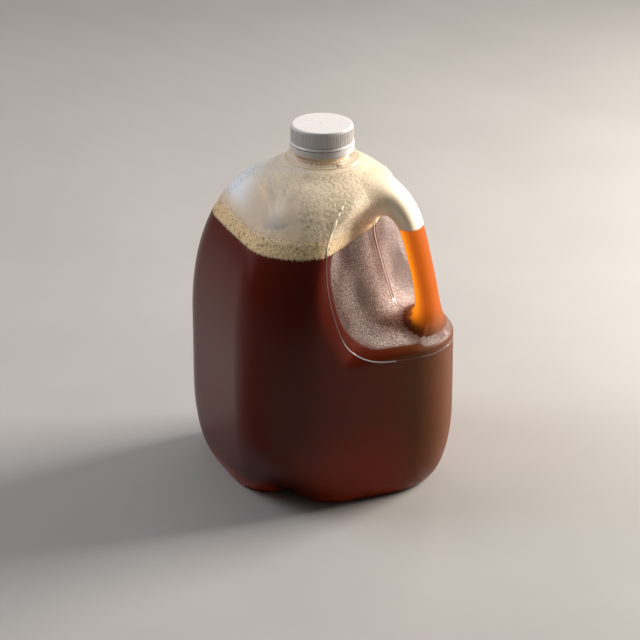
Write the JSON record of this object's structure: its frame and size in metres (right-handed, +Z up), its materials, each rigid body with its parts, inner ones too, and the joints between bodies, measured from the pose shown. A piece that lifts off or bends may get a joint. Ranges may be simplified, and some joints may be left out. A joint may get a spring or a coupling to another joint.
{
  "type": "iced tea jug",
  "caption": "Translucent blow-moulded jug with a side handle in a scooped grip recess and a ribbed screw cap, filled with iced tea under a head of foam.",
  "frame": {"origin": "on the jug's axis, at the surface it stands on", "axes": "+Z up along the jug's axis, +X towards the handle, so the parting plane is XZ"},
  "size_m": [0.1882, 0.1882, 0.2544],
  "materials": {
    "jug_plastic": "translucent milky plastic, satin, stippled in the grip recess",
    "cap_plastic": "opaque white moulded plastic, satin",
    "tea": "dark brown iced tea, clear, orange where it is thin",
    "foam": "beige foam of small bubbles"
  },
  "bodies": {
    "root": {"jug": "jug_plastic", "cap": "cap_plastic", "tea": "tea", "foam": "foam"}
  },
  "joints": []
}
